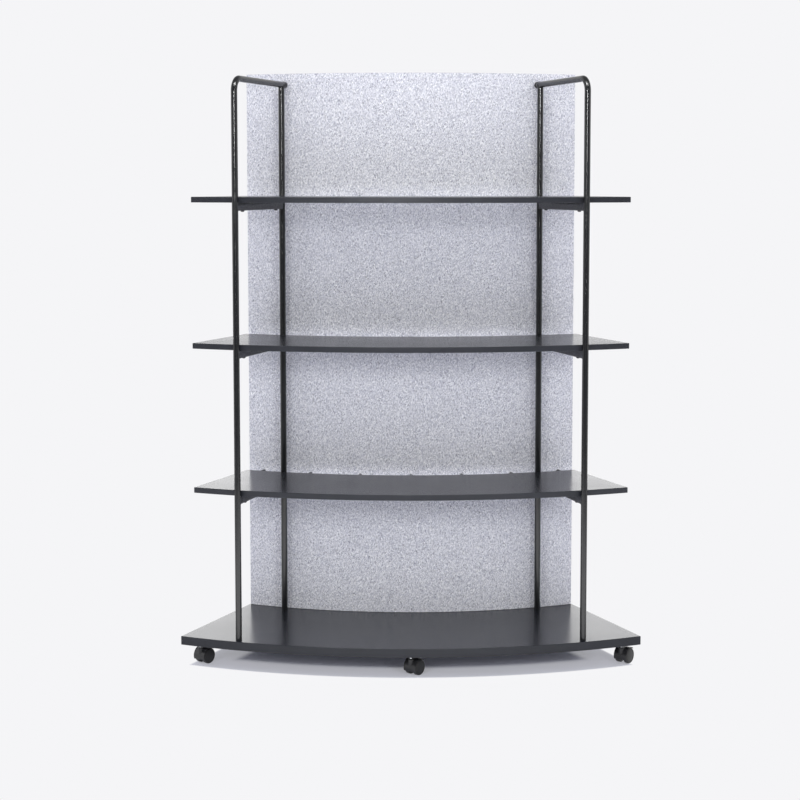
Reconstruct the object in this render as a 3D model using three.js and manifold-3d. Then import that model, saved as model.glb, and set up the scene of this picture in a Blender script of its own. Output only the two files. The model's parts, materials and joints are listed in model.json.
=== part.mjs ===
// Rolling shelving unit: a curved base board on twin-wheel castors, two frames of bent round tube, three curved
// shelves on support bars, and a curved felt panel that closes the back.
// Millimetres, +Z up, front towards -Y, origin on the floor under the middle of the unit's outline.
import * as THREE from "three";
import { mergeVertices } from "three/addons/utils/BufferGeometryUtils.js";
import Module from "manifold-3d";

const wasm = await Module();
wasm.setup();

const quarterTurn = Math.PI / 2;
const halfTurn = Math.PI;
const wholeTurn = 2 * Math.PI;
const inDegrees = THREE.MathUtils.degToRad;

// Fits: a seated piece keeps seatGap to its seat, and a turning or inserted one keeps fitClearance all round.
const seatGap = 0.3;
const fitClearance = 0.3;
const cutOverrun = 1;
const weldDistance = 0.001;

// Plan: every board, both frames and the felt lie on circles about one upright axis behind the unit.
const baseFrontRadius = 1850;
const frontPostInset = 28;
const frameDepth = 394;
const frameHalfAngle = inDegrees(17.5);

// Base board.
const baseThickness = 28;
const baseSideMargin = 5;
const baseRearMargin = 12;

// Frames of round tube: front post, bend and rail in one, and a rear post under the rail.
const tubeRadius = 10;
const tubeWall = 1.5;
const bendRadius = 40;
const frameHeight = 1783;
const footPlugHeight = 12;
const railPlugRadius = 9.6;
const railPlugHead = 5;
const railPlugInsert = 14;

// Bolts that hold the posts' feet from under the base board.
const footBoltRadius = 4;
const footBoltHeadRadius = 8;
const footBoltHeadHeight = 5;

// Shelves, and the support bars under them.
const shelfNames = ["low", "middle", "top"];
const shelfThickness = 18;
const lowShelfRise = 478.5;
const shelfPitch = 463.5;
const shelfFrontGap = 4;
const shelfRearGap = 8;
const shelfEndMargin = 40;
const barHeight = 25;
const barWidth = 15;
const barWall = 1.5;
const barScrewInset = 58;
const barScrewRadius = 6.5;
const barScrewHeight = 4;
const barScrewCrownShare = 0.55;

// Felt panel, and the round spacers that carry it behind the shelves.
const feltThickness = 10;
const feltAboveFrame = 27;
const feltSetback = 31;
const feltSideMargin = 17.5;
const spacerRadius = 5;
const spacersEachSide = 3;
const spacerPitchShare = 0.4;

// Castors with two wheels under one hood, on a fixed stem.
const castorInset = 45;
const castorTrailTurn = inDegrees(53);
const castorTrail = 20;
const castorNeck = 19;
const wheelRadius = 25;
const wheelWidth = 15.5;
const wheelEdgeRadius = 3.5;
const wheelRimWidth = 2.5;
const wheelDiscRecess = 1;
const wheelDiscCrown = 1.6;
const wheelBoreEndWall = 4;
const wheelSideGap = 0.5;
const axleRadius = 3;
const webThickness = 14;
const hubRadius = 8;
const fenderGap = 1.2;
const fenderWall = 2.2;
const fenderRearEnd = inDegrees(50);
const fenderFrontEnd = inDegrees(202);
const hubStart = inDegrees(255);
const hubEnd = inDegrees(385);
const neckRadius = 9;
const stemRadius = 4;
const stemFlangeRadius = 11;
const stemFlangeHeight = 2.5;
const stemInBoard = 20;
const stemInHood = 18;

// Facets of each round piece, and of each arc in an outline. An arc is drawn with two facets to a segment.
const boardFacets = 36;
const tubeFacets = 20;
const bendSteps = 9;
const wheelFacets = 24;
const hoodFacets = 12;
const edgeSteps = 2;
const pinFacets = 12;
const arcFacetsPerSegment = 2;

// Radii from the plan's axis.
const frontPostRadius = baseFrontRadius - frontPostInset;
const rearPostRadius = frontPostRadius - frameDepth;
const shelfFrontRadius = frontPostRadius - tubeRadius - shelfFrontGap;
const shelfRearRadius = rearPostRadius + tubeRadius + shelfRearGap;
const feltFrontRadius = rearPostRadius - feltSetback;
const feltRearRadius = feltFrontRadius - feltThickness;
const baseRearRadius = feltRearRadius - baseRearMargin;
const railEndRadius = feltFrontRadius + railPlugHead + 2 * seatGap;

// Half angles seen from the plan's axis. Each post stands midway between two spacers.
const spacerPitch = frameHalfAngle * spacerPitchShare;
const shelfHalfAngle = spacersEachSide * spacerPitch + Math.asin(shelfEndMargin / shelfRearRadius);
const feltHalfAngle = shelfHalfAngle + Math.asin(feltSideMargin / feltFrontRadius);
const baseHalfAngle = feltHalfAngle + Math.asin(baseSideMargin / feltFrontRadius);

// Heights above the floor.
const baseBottom = 2 * wheelRadius + castorNeck;
const baseTop = baseBottom + baseThickness;
const footLevel = baseTop + seatGap;
const railLevel = baseTop + frameHeight - tubeRadius;
const feltHeight = frameHeight + feltAboveFrame;
const hoodTop = 2 * wheelRadius + fenderGap + fenderWall;

// Distance from the plan's axis forward to the middle of the outline.
const outlineMiddle = (baseFrontRadius + baseRearRadius * Math.cos(baseHalfAngle)) / 2;

const boardFinish = { color: 0x4a4c53, roughness: 0.45, metalness: 0 };
const tubeFinish = { color: 0x2f3035, roughness: 0.38, metalness: 0.2 };
const feltFinish = { color: 0xc6c8d1, roughness: 0.95, metalness: 0 };
const plasticFinish = { color: 0x232326, roughness: 0.5, metalness: 0 };
const stemFinish = { color: 0xb4b7bc, roughness: 0.3, metalness: 0.9 };

function named(name, geometry, finish) {
  const mesh = new THREE.Mesh(geometry, new THREE.MeshStandardMaterial(finish));
  mesh.name = name;
  return mesh;
}

// A closed geometry as a solid that can be joined and cut.
function solidOf(geometry) {
  const bare = geometry.clone();
  bare.deleteAttribute("normal");
  bare.deleteAttribute("uv");
  const merged = mergeVertices(bare, weldDistance);
  const vertProperties = merged.getAttribute("position").array;
  const triVerts = new Uint32Array(merged.index.array);
  return new wasm.Manifold(new wasm.Mesh({ numProp: 3, vertProperties, triVerts }));
}

function geometryOf(solid) {
  const { vertProperties, triVerts } = solid.getMesh();
  const geometry = new THREE.BufferGeometry();
  geometry.setAttribute("position", new THREE.BufferAttribute(new Float32Array(vertProperties), 3));
  geometry.setIndex(new THREE.BufferAttribute(new Uint32Array(triVerts), 1));
  geometry.computeVertexNormals();
  return geometry;
}

// A round piece about the Z axis from a profile of [radius, height] that runs from its bottom to its top.
// Its facets touch the true radius from outside, so a wheel's lowest facet lies on the floor.
function turned(profile, facets) {
  const facetReach = 1 / Math.cos(halfTurn / facets);
  const points = profile.map(([radius, height]) => new THREE.Vector2(radius * facetReach, height));
  const geometry = new THREE.LatheGeometry(points, facets, halfTurn / facets, wholeTurn);
  return geometry.rotateX(quarterTurn);
}

function rod(radius, bottom, top, facets) {
  return turned([[0, bottom], [radius, bottom], [radius, top], [0, top]], facets);
}

// Puts a piece made at the plan's axis out to a radius and round to an angle, right side positive.
function placeOut(object, radius, angle) {
  object.position.set(radius * Math.sin(angle), -radius * Math.cos(angle), 0);
  object.rotation.z = angle;
  return object;
}

function outTo(geometry, radius, angle) {
  return geometry.translate(0, -radius, 0).rotateZ(angle);
}

// Board or panel between two radii, from its underside up.
function ringBoard(rearRadius, frontRadius, halfAngle, bottom, height) {
  const outline = new THREE.Shape();
  outline.absarc(0, 0, frontRadius, -quarterTurn - halfAngle, -quarterTurn + halfAngle, false);
  outline.absarc(0, 0, rearRadius, -quarterTurn + halfAngle, -quarterTurn - halfAngle, true);
  outline.closePath();
  const options = { depth: height, bevelEnabled: false, curveSegments: boardFacets / arcFacetsPerSegment };
  return new THREE.ExtrudeGeometry(outline, options).translate(0, 0, bottom);
}

function castorPlaces() {
  const frontRadius = baseFrontRadius - castorInset;
  const rearRadius = baseRearRadius + castorInset;
  const frontAngle = baseHalfAngle - Math.asin(castorInset / frontRadius);
  const rearAngle = baseHalfAngle - Math.asin(castorInset / rearRadius);
  return [
    { name: "front_left", radius: frontRadius, angle: -frontAngle },
    { name: "front_middle", radius: frontRadius, angle: 0 },
    { name: "front_right", radius: frontRadius, angle: frontAngle },
    { name: "rear_left", radius: rearRadius, angle: -rearAngle },
    { name: "rear_right", radius: rearRadius, angle: rearAngle },
  ];
}

// Base board with a blind hole for each castor stem and a counterbored one for each post's bolt.
function baseBoard() {
  let board = solidOf(ringBoard(baseRearRadius, baseFrontRadius, baseHalfAngle, baseBottom, baseThickness));
  const stemHoleTop = baseBottom + stemInBoard + fitClearance;
  for (const { radius, angle } of castorPlaces()) {
    const hole = rod(stemRadius + fitClearance, baseBottom - cutOverrun, stemHoleTop, pinFacets);
    board = board.subtract(solidOf(outTo(hole, radius, angle)));
  }
  const shankHole = footBoltRadius + fitClearance;
  const headHole = footBoltHeadRadius + fitClearance;
  const headHoleTop = baseBottom + footBoltHeadHeight + 2 * seatGap;
  const profile = [
    [0, baseBottom - cutOverrun],
    [headHole, baseBottom - cutOverrun],
    [headHole, headHoleTop],
    [shankHole, headHoleTop],
    [shankHole, baseTop + cutOverrun],
    [0, baseTop + cutOverrun],
  ];
  for (const side of [-1, 1]) {
    for (const radius of [frontPostRadius, rearPostRadius]) {
      board = board.subtract(solidOf(outTo(turned(profile, pinFacets), radius, side * frameHalfAngle)));
    }
  }
  return named("base_board", geometryOf(board), boardFinish);
}

function shelfTop(index) {
  return baseTop + lowShelfRise + index * shelfPitch;
}

function shelf(name, index) {
  const bottom = shelfTop(index) - shelfThickness;
  const geometry = ringBoard(shelfRearRadius, shelfFrontRadius, shelfHalfAngle, bottom, shelfThickness);
  return named(name + "_shelf", geometry, boardFinish);
}

function feltPanel() {
  const geometry = ringBoard(feltRearRadius, feltFrontRadius, feltHalfAngle, baseTop + seatGap, feltHeight);
  return named("felt_panel", geometry, feltFinish);
}

// Spacers of one shelf, from its rear edge back to the felt, at half the shelf's thickness.
function spacers(name, index) {
  const group = new THREE.Group();
  const rearEnd = feltFrontRadius + seatGap;
  const frontEnd = shelfRearRadius - seatGap;
  for (let place = -spacersEachSide; place <= spacersEachSide; place += 1) {
    const geometry = rod(spacerRadius, rearEnd, frontEnd, pinFacets).rotateX(quarterTurn);
    const number = place + spacersEachSide + 1;
    const spacer = named(`${name}_shelf_spacer_${number}`, geometry, tubeFinish);
    spacer.rotation.z = place * spacerPitch;
    spacer.position.z = shelfTop(index) - shelfThickness / 2;
    group.add(spacer);
  }
  return group;
}

function tubeSection() {
  const section = new THREE.Shape();
  section.absarc(0, 0, tubeRadius, 0, wholeTurn, false);
  const bore = new THREE.Path();
  bore.absarc(0, 0, tubeRadius - tubeWall, 0, wholeTurn, true);
  section.holes.push(bore);
  return section;
}

// Centre line of the front tube: up the post, round the bend and back along the rail.
// One step runs up the post and one along the rail, with bendSteps between them.
class FrontTubeLine extends THREE.Curve {
  getUtoTmapping(share) {
    return share;
  }

  getPoint(share, target = new THREE.Vector3()) {
    const step = share * (bendSteps + 2);
    const bendStart = railLevel - bendRadius;
    if (step <= 1) {
      return target.set(0, -frontPostRadius, THREE.MathUtils.lerp(footLevel, bendStart, step));
    }
    if (step >= bendSteps + 1) {
      const along = step - bendSteps - 1;
      const railStart = bendRadius - frontPostRadius;
      return target.set(0, THREE.MathUtils.lerp(railStart, -railEndRadius, along), railLevel);
    }
    const turn = ((step - 1) / bendSteps) * quarterTurn;
    const back = bendRadius * (1 - Math.cos(turn));
    return target.set(0, back - frontPostRadius, bendStart + bendRadius * Math.sin(turn));
  }
}

// Plug in a post's foot, with the bolt that comes up into it through the base board.
function footBolt(radius) {
  const headTop = baseBottom + footBoltHeadHeight + seatGap;
  const plugRadius = tubeRadius - tubeWall / 2;
  const profile = [
    [0, headTop - footBoltHeadHeight],
    [footBoltHeadRadius, headTop - footBoltHeadHeight],
    [footBoltHeadRadius, headTop],
    [footBoltRadius, headTop],
    [footBoltRadius, footLevel],
    [plugRadius, footLevel],
    [plugRadius, footLevel + footPlugHeight],
    [0, footLevel + footPlugHeight],
  ];
  return solidOf(turned(profile, pinFacets).translate(0, -radius, 0));
}

function frontTube(name) {
  const curveSegments = tubeFacets / arcFacetsPerSegment;
  const options = { steps: bendSteps + 2, curveSegments, extrudePath: new FrontTubeLine() };
  const tube = solidOf(new THREE.ExtrudeGeometry(tubeSection(), options));
  return named(name + "_front_tube", geometryOf(tube.add(footBolt(frontPostRadius))), tubeFinish);
}

// Rear post, hollowed at its top to sit round the underside of the rail.
function rearPost(name) {
  const curveSegments = tubeFacets / arcFacetsPerSegment;
  const options = { depth: railLevel - footLevel, bevelEnabled: false, curveSegments };
  const post = new THREE.ExtrudeGeometry(tubeSection(), options).translate(0, -rearPostRadius, footLevel);
  const saddle = rod(tubeRadius + seatGap, railEndRadius, frontPostRadius, tubeFacets);
  saddle.rotateX(quarterTurn).translate(0, 0, railLevel);
  const solid = solidOf(post).add(footBolt(rearPostRadius)).subtract(solidOf(saddle));
  return named(name + "_rear_post", geometryOf(solid), tubeFinish);
}

function railPlug(name) {
  const insertRadius = tubeRadius - tubeWall - fitClearance;
  const profile = [
    [0, feltFrontRadius + seatGap],
    [railPlugRadius, feltFrontRadius + seatGap],
    [railPlugRadius, railEndRadius - seatGap],
    [insertRadius, railEndRadius - seatGap],
    [insertRadius, railEndRadius + railPlugInsert],
    [0, railEndRadius + railPlugInsert],
  ];
  const geometry = turned(profile, tubeFacets).rotateX(quarterTurn).translate(0, 0, railLevel);
  return named(name + "_rail_plug", geometry, plasticFinish);
}

// Domed head of a screw that comes up through a support bar, hanging from the level of the bar's underside.
function barScrewHead(level) {
  const crown = barScrewHeight * barScrewCrownShare;
  const profile = [
    [0, level - barScrewHeight],
    [barScrewRadius * barScrewCrownShare, level - barScrewHeight],
    [barScrewRadius, level - barScrewHeight + crown],
    [barScrewRadius, level + barWall],
    [0, level + barWall],
  ];
  return turned(profile, pinFacets);
}

// Square-cornered tube between the two posts of a frame, hollowed at its ends to sit round them.
function supportBar(frameName, name, index) {
  const top = shelfTop(index) - shelfThickness - seatGap;
  const bottom = top - barHeight;
  const halfWidth = barWidth / 2;
  const section = new THREE.Shape();
  section.moveTo(-halfWidth, bottom);
  section.lineTo(halfWidth, bottom);
  section.lineTo(halfWidth, top);
  section.lineTo(-halfWidth, top);
  section.closePath();
  const bore = new THREE.Path();
  bore.moveTo(barWall - halfWidth, bottom + barWall);
  bore.lineTo(barWall - halfWidth, top - barWall);
  bore.lineTo(halfWidth - barWall, top - barWall);
  bore.lineTo(halfWidth - barWall, bottom + barWall);
  bore.closePath();
  section.holes.push(bore);
  const box = new THREE.ExtrudeGeometry(section, { depth: frameDepth, bevelEnabled: false });
  let bar = solidOf(box.rotateX(quarterTurn).translate(0, -rearPostRadius, 0));
  for (const radius of [frontPostRadius, rearPostRadius]) {
    const post = rod(tubeRadius + seatGap, bottom - cutOverrun, top + cutOverrun, tubeFacets);
    bar = bar.subtract(solidOf(post.translate(0, -radius, 0)));
  }
  for (const radius of [frontPostRadius - barScrewInset, rearPostRadius + barScrewInset]) {
    bar = bar.add(solidOf(barScrewHead(bottom).translate(0, -radius, 0)));
  }
  return named(`${frameName}_${name}_support_bar`, geometryOf(bar), tubeFinish);
}

function frame(name, angle) {
  const group = new THREE.Group();
  group.add(frontTube(name), rearPost(name), railPlug(name));
  shelfNames.forEach((shelfName, index) => group.add(supportBar(name, shelfName, index)));
  group.rotation.z = angle;
  return group;
}

// Stem fixed in the base board, with a flange under the board and a plain pin down into the hood.
function castorStem(name) {
  const flangeTop = baseBottom - seatGap;
  const profile = [
    [0, hoodTop - stemInHood],
    [stemRadius, hoodTop - stemInHood],
    [stemRadius, flangeTop - stemFlangeHeight],
    [stemFlangeRadius, flangeTop - stemFlangeHeight],
    [stemFlangeRadius, flangeTop],
    [stemRadius, flangeTop],
    [stemRadius, baseBottom + stemInBoard],
    [0, baseBottom + stemInBoard],
  ];
  return named(name + "_castor_stem", turned(profile, pinFacets), stemFinish);
}

// Side outline of the hood round the axle: fender over the tread, down to the front skirt, and back to the hub.
function hoodOutline() {
  const outline = new THREE.Shape();
  outline.absarc(0, 0, wheelRadius + fenderGap + fenderWall, fenderRearEnd, fenderFrontEnd, false);
  outline.absarc(0, 0, hubRadius, hubStart, hubEnd, false);
  outline.closePath();
  return outline;
}

function acrossWheels(geometry) {
  return geometry.rotateX(quarterTurn).translate(castorTrail, 0, wheelRadius);
}

// Hood with its web between the wheels, the neck round the stem and the axle. Local +X is the way it trails.
function castorHood(name) {
  const innerFace = webThickness / 2;
  const outerFace = innerFace + wheelSideGap + wheelWidth;
  const curveSegments = hoodFacets / arcFacetsPerSegment;
  const options = { depth: 2 * outerFace, bevelEnabled: false, curveSegments };
  const shell = new THREE.ExtrudeGeometry(hoodOutline(), options).translate(0, 0, -outerFace);
  const neck = rod(neckRadius, wheelRadius, hoodTop, pinFacets);
  const bridge = new THREE.BoxGeometry(castorTrail, 2 * neckRadius, fenderWall + fenderGap);
  bridge.translate(castorTrail / 2, 0, hoodTop - (fenderWall + fenderGap) / 2);
  let hood = solidOf(acrossWheels(shell)).add(solidOf(neck)).add(solidOf(bridge));
  for (const [from, to] of [[innerFace, outerFace + cutOverrun], [-outerFace - cutOverrun, -innerFace]]) {
    const space = rod(wheelRadius + fenderGap, from, to, wheelFacets);
    hood = hood.subtract(solidOf(acrossWheels(space)));
  }
  const axleReach = outerFace - wheelBoreEndWall - fitClearance;
  hood = hood.add(solidOf(acrossWheels(rod(axleRadius, -axleReach, axleReach, pinFacets))));
  const bottomOfBore = hoodTop - stemInHood - fitClearance;
  hood = hood.subtract(solidOf(rod(stemRadius + fitClearance, bottomOfBore, hoodTop + cutOverrun, pinFacets)));
  return named(name + "_castor_hood", geometryOf(hood), plasticFinish);
}

// Wheel about its axle: open bore from the inner face, rounded tread, rim and a crowned disc outside.
function castorWheel(name, side) {
  const profile = [
    [0, wheelWidth - wheelBoreEndWall],
    [axleRadius + fitClearance, wheelWidth - wheelBoreEndWall],
    [axleRadius + fitClearance, 0],
  ];
  for (const [height, from] of [[wheelEdgeRadius, -quarterTurn], [wheelWidth - wheelEdgeRadius, 0]]) {
    for (let step = 0; step <= edgeSteps; step += 1) {
      const turn = from + (quarterTurn * step) / edgeSteps;
      const radius = wheelRadius - wheelEdgeRadius * (1 - Math.cos(turn));
      profile.push([radius, height + wheelEdgeRadius * Math.sin(turn)]);
    }
  }
  const discRadius = wheelRadius - wheelEdgeRadius - wheelRimWidth;
  profile.push([discRadius, wheelWidth]);
  profile.push([discRadius - wheelDiscRecess, wheelWidth - wheelDiscRecess]);
  profile.push([0, wheelWidth - wheelDiscRecess + wheelDiscCrown]);
  const geometry = turned(profile, wheelFacets);
  geometry.translate(0, 0, webThickness / 2 + wheelSideGap);
  const sideName = side < 0 ? "left" : "right";
  const outward = side < 0 ? geometry : geometry.rotateY(halfTurn);
  return named(`${name}_castor_${sideName}_wheel`, acrossWheels(outward), plasticFinish);
}

function castor({ name, radius, angle }) {
  const swivelling = new THREE.Group();
  swivelling.add(castorHood(name), castorWheel(name, -1), castorWheel(name, 1));
  swivelling.rotation.z = castorTrailTurn - angle;
  const group = new THREE.Group();
  group.add(castorStem(name), swivelling);
  return placeOut(group, radius, angle);
}

function shelvingUnit() {
  const aboutPlanAxis = new THREE.Group();
  aboutPlanAxis.add(baseBoard(), feltPanel());
  aboutPlanAxis.add(frame("left", -frameHalfAngle), frame("right", frameHalfAngle));
  shelfNames.forEach((name, index) => aboutPlanAxis.add(shelf(name, index), spacers(name, index)));
  castorPlaces().forEach((place) => aboutPlanAxis.add(castor(place)));
  aboutPlanAxis.position.y = outlineMiddle;
  const unit = new THREE.Group();
  unit.add(aboutPlanAxis);
  return unit;
}

export default shelvingUnit();
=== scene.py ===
# Rolling shelving unit: ring-shaped boards on two frames of bent tube, a pressed felt panel behind them, and
# five twin-wheel castors. Metres, +Z up, front towards -Y.
import json
import math

import bmesh
import bpy
from mathutils import Matrix, Vector


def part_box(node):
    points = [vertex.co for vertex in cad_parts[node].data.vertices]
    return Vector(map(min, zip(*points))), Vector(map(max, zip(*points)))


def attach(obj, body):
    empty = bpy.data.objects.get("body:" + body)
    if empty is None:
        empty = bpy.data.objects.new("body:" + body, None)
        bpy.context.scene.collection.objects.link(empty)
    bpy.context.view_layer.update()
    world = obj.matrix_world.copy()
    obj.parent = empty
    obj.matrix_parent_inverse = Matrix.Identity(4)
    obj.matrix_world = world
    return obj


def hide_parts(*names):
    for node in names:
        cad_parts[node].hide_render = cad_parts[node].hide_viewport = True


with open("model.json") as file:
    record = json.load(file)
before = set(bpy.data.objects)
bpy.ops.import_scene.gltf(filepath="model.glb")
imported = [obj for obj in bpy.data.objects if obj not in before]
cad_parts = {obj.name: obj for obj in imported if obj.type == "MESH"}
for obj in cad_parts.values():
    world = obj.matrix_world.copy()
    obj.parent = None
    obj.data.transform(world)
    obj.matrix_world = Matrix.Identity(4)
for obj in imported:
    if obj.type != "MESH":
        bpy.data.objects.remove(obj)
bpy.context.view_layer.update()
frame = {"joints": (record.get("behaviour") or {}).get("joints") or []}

MM = 0.001
SHELVES = ("low", "middle", "top")
CASTORS = ("front_left", "front_middle", "front_right", "rear_left", "rear_right")

# Plan: every board, frame and panel is curved about one upright axis behind the unit.
BASE_FRONT_RADIUS = 1850 * MM
FRONT_POST_RADIUS = BASE_FRONT_RADIUS - 28 * MM
REAR_POST_RADIUS = FRONT_POST_RADIUS - 394 * MM
FRAME_HALF_ANGLE = math.radians(17.5)
PLAN_AXIS_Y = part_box("base_board")[0].y + BASE_FRONT_RADIUS
PLAN_AXIS = Vector((0, PLAN_AXIS_Y, 0))

# Tubes, bars and what is fastened to them.
TUBE_RADIUS = 10 * MM
TUBE_WALL = 1.5 * MM
BEND_RADIUS = 40 * MM
BAR_WIDTH = 15 * MM
BAR_CORNER = 1.8 * MM
BAR_END_OFFSET = 6 * MM
BAR_SCREW_INSET = 58 * MM
WELD_RADIUS = 1.3 * MM
WELD_STEPS = 48
SPACER_RADIUS = 5 * MM
SPACERS_ACROSS = 7
SPACER_PITCH = math.radians(7)
CAP_RADIUS = 10.8 * MM
SPIGOT_RADIUS = 8 * MM
SPIGOT_LENGTH = 5 * MM

# Screw and bolt heads: radius, height, and the width and depth of the socket.
BAR_SCREW_HEIGHT = 4 * MM
BAR_SCREW_HEAD = (6.5 * MM, BAR_SCREW_HEIGHT, 4.6 * MM, 2.2 * MM)
FOOT_BOLT_HEAD = (8 * MM, 5 * MM, 6 * MM, 3 * MM)
FELT_SCREW_HEAD = (5 * MM, 3 * MM, 3.4 * MM, 1.6 * MM)
BOLT_RECESS_RADIUS = 8.3 * MM
BOLT_RECESS_DEPTH = 5.6 * MM
BOLT_SEAT_DEPTH = 5.3 * MM
WASHER_RADIUS = 9 * MM
WASHER_THICKNESS = 1.2 * MM

# Boards and felt.
SHELF_FRONT_RADIUS = FRONT_POST_RADIUS - TUBE_RADIUS - 4 * MM
SHELF_REAR_RADIUS = REAR_POST_RADIUS + TUBE_RADIUS + 8 * MM
FELT_FRONT_RADIUS = REAR_POST_RADIUS - 31 * MM
FELT_THICKNESS = 10 * MM
BASE_REAR_RADIUS = FELT_FRONT_RADIUS - FELT_THICKNESS - 12 * MM
RAIL_END_RADIUS = REAR_POST_RADIUS - TUBE_RADIUS - 2 * MM
BOARD_ARRIS = 1.6 * MM
FELT_ARRIS = 1.6 * MM
ARRIS_STEPS = 3
ARRIS_FROM = math.radians(35)
FELT_UNEVENNESS = 0.25 * MM
FELT_UNEVEN_SIZE = 26 * MM

# Castors, in a frame of their own with +X the way that they trail and the stem at the origin.
WHEEL_RADIUS = 25 * MM
WHEEL_WIDTH = 15.5 * MM
WHEEL_INNER_FACE = 7.5 * MM
BORE_RADIUS = 3.3 * MM
BORE_DEPTH = 11.5 * MM
HUB_RADIUS = 6.5 * MM
HOLLOW_RADIUS = 18.8 * MM
HOLLOW_DEPTH = 5 * MM
DRAFT = 0.3 * MM
DISC_RADIUS = 19 * MM
DISC_CROWN = 1.1 * MM
CROWN_STEPS = 8
AXLE_TRAIL = 20 * MM
AXLE_RADIUS = 3 * MM
AXLE_HALF_LENGTH = 18.6 * MM
WEB_RADIUS = 27 * MM
WEB_HALF = 7 * MM
WEB_FOOT_RADIUS = 8 * MM
FENDER_INNER = 26.2 * MM
FENDER_OUTER = 28.4 * MM
FENDER_HALF_WIDTH = 23 * MM
FENDER_TAIL = 50
FENDER_FRONT = 202
HOOD_TOP = 54 * MM
CUP_LEVEL = 52.8 * MM
NECK_FOOT = 27 * MM
NECK_RADIUS = 9 * MM
BRIDGE_LENGTH = 21 * MM
BRIDGE_HALF = 7.5 * MM
STEM_FOOT = 36 * MM
STEM_RADIUS = 4 * MM
SHOULDER_RADIUS = 5.6 * MM
FLANGE_RADIUS = 11 * MM
FLANGE_THICKNESS = 2.5 * MM


def height_of(node):
    """Lowest and highest level of a node of the frame."""
    low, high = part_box(node)
    return low.z, high.z


def half_angle_of(node, radius):
    """Half angle that a ring-shaped node spans, from its widest place at that radius."""
    return math.asin(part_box(node)[1].x / radius)


BASE_BOTTOM, BASE_TOP = height_of("base_board")
RAIL_LEVEL = height_of("left_front_tube")[1] - TUBE_RADIUS


def linear(code):
    """Linear RGBA from an sRGB hex colour."""
    channels = [int(code[place:place + 2], 16) / 255 for place in (1, 3, 5)]
    return [c / 12.92 if c <= 0.04045 else ((c + 0.055) / 1.055) ** 2.4 for c in channels] + [1.0]


def socket(sockets, key):
    """A socket by its identifier, or else by its name."""
    return next((each for each in sockets if each.identifier == key), None) or sockets[key]


def add(tree, kind, inputs=None, **settings):
    """Adds a node with its settings, and sets or links its inputs."""
    node = tree.nodes.new(kind)
    for name, value in settings.items():
        setattr(node, name, value)
    for key, value in (inputs or {}).items():
        target = socket(node.inputs, key)
        if isinstance(value, bpy.types.NodeSocket):
            tree.links.new(value, target)
        else:
            target.default_value = value
    return node


# Finishes

def new_finish(name, **uniform):
    """A material, its nodes, its shader and the object's own coordinates. Uniform values go on the shader."""
    material = bpy.data.materials.new(name)
    material.use_nodes = True
    tree = material.node_tree
    shader = tree.nodes["Principled BSDF"]
    for key, value in uniform.items():
        shader.inputs[key.replace("_", " ")].default_value = value
    place = add(tree, "ShaderNodeTexCoord").outputs["Object"]
    return material, tree, shader, place


def satin_laminate(name, dark, light):
    """Melamine laminate pressed against a satin plate: even and dark, a blurred mirror at low angles."""
    material, tree, shader, place = new_finish(name, IOR=1.43)
    cloud = add(tree, "ShaderNodeTexNoise", {"Vector": place, "Scale": 1 / (70 * MM), "Detail": 3.0})
    fleck = add(tree, "ShaderNodeTexNoise", {"Vector": place, "Scale": 1 / (2.2 * MM), "Detail": 2.0})
    blend = add(tree, "ShaderNodeMath", {
        0: cloud.outputs["Fac"], 1: fleck.outputs["Fac"],
    }, operation="MULTIPLY")
    spread = add(tree, "ShaderNodeMapRange", {"Value": blend.outputs[0], "From Min": 0.12, "From Max": 0.4})
    colour = add(tree, "ShaderNodeMix", {
        "Factor_Float": spread.outputs["Result"], "A_Color": linear(dark), "B_Color": linear(light),
    }, data_type="RGBA")
    tree.links.new(socket(colour.outputs, "Result_Color"), shader.inputs["Base Color"])
    # Handling leaves faint smears a hand wide, a little smoother or duller than the rest.
    smear = add(tree, "ShaderNodeTexNoise", {"Vector": place, "Scale": 1 / (110 * MM), "Detail": 5.0})
    rough = add(tree, "ShaderNodeMapRange", {
        "Value": smear.outputs["Fac"], "From Min": 0.3, "From Max": 0.7, "To Min": 0.225, "To Max": 0.25,
    })
    # The faces lie level. The edging round them is a strip of ABS, and duller.
    normal = add(tree, "ShaderNodeSeparateXYZ", {0: add(tree, "ShaderNodeNewGeometry").outputs["Normal"]})
    level = add(tree, "ShaderNodeMath", {0: normal.outputs["Z"]}, operation="ABSOLUTE")
    dull = add(tree, "ShaderNodeMapRange", {
        "Value": level.outputs[0], "From Min": 0.4, "From Max": 0.9, "To Min": 0.45,
        "To Max": rough.outputs["Result"],
    })
    tree.links.new(dull.outputs["Result"], shader.inputs["Roughness"])
    # The plate's pearl grain is 0.4 mm across. It is drawn at 0.9 mm, so that it shows.
    pearl = add(tree, "ShaderNodeTexNoise", {"Vector": place, "Scale": 1 / (0.9 * MM), "Detail": 1.0})
    bump = add(tree, "ShaderNodeBump", {
        "Height": pearl.outputs["Fac"], "Strength": 0.15, "Distance": 0.02 * MM,
    })
    tree.links.new(bump.outputs["Normal"], shader.inputs["Normal"])
    return material


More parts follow.
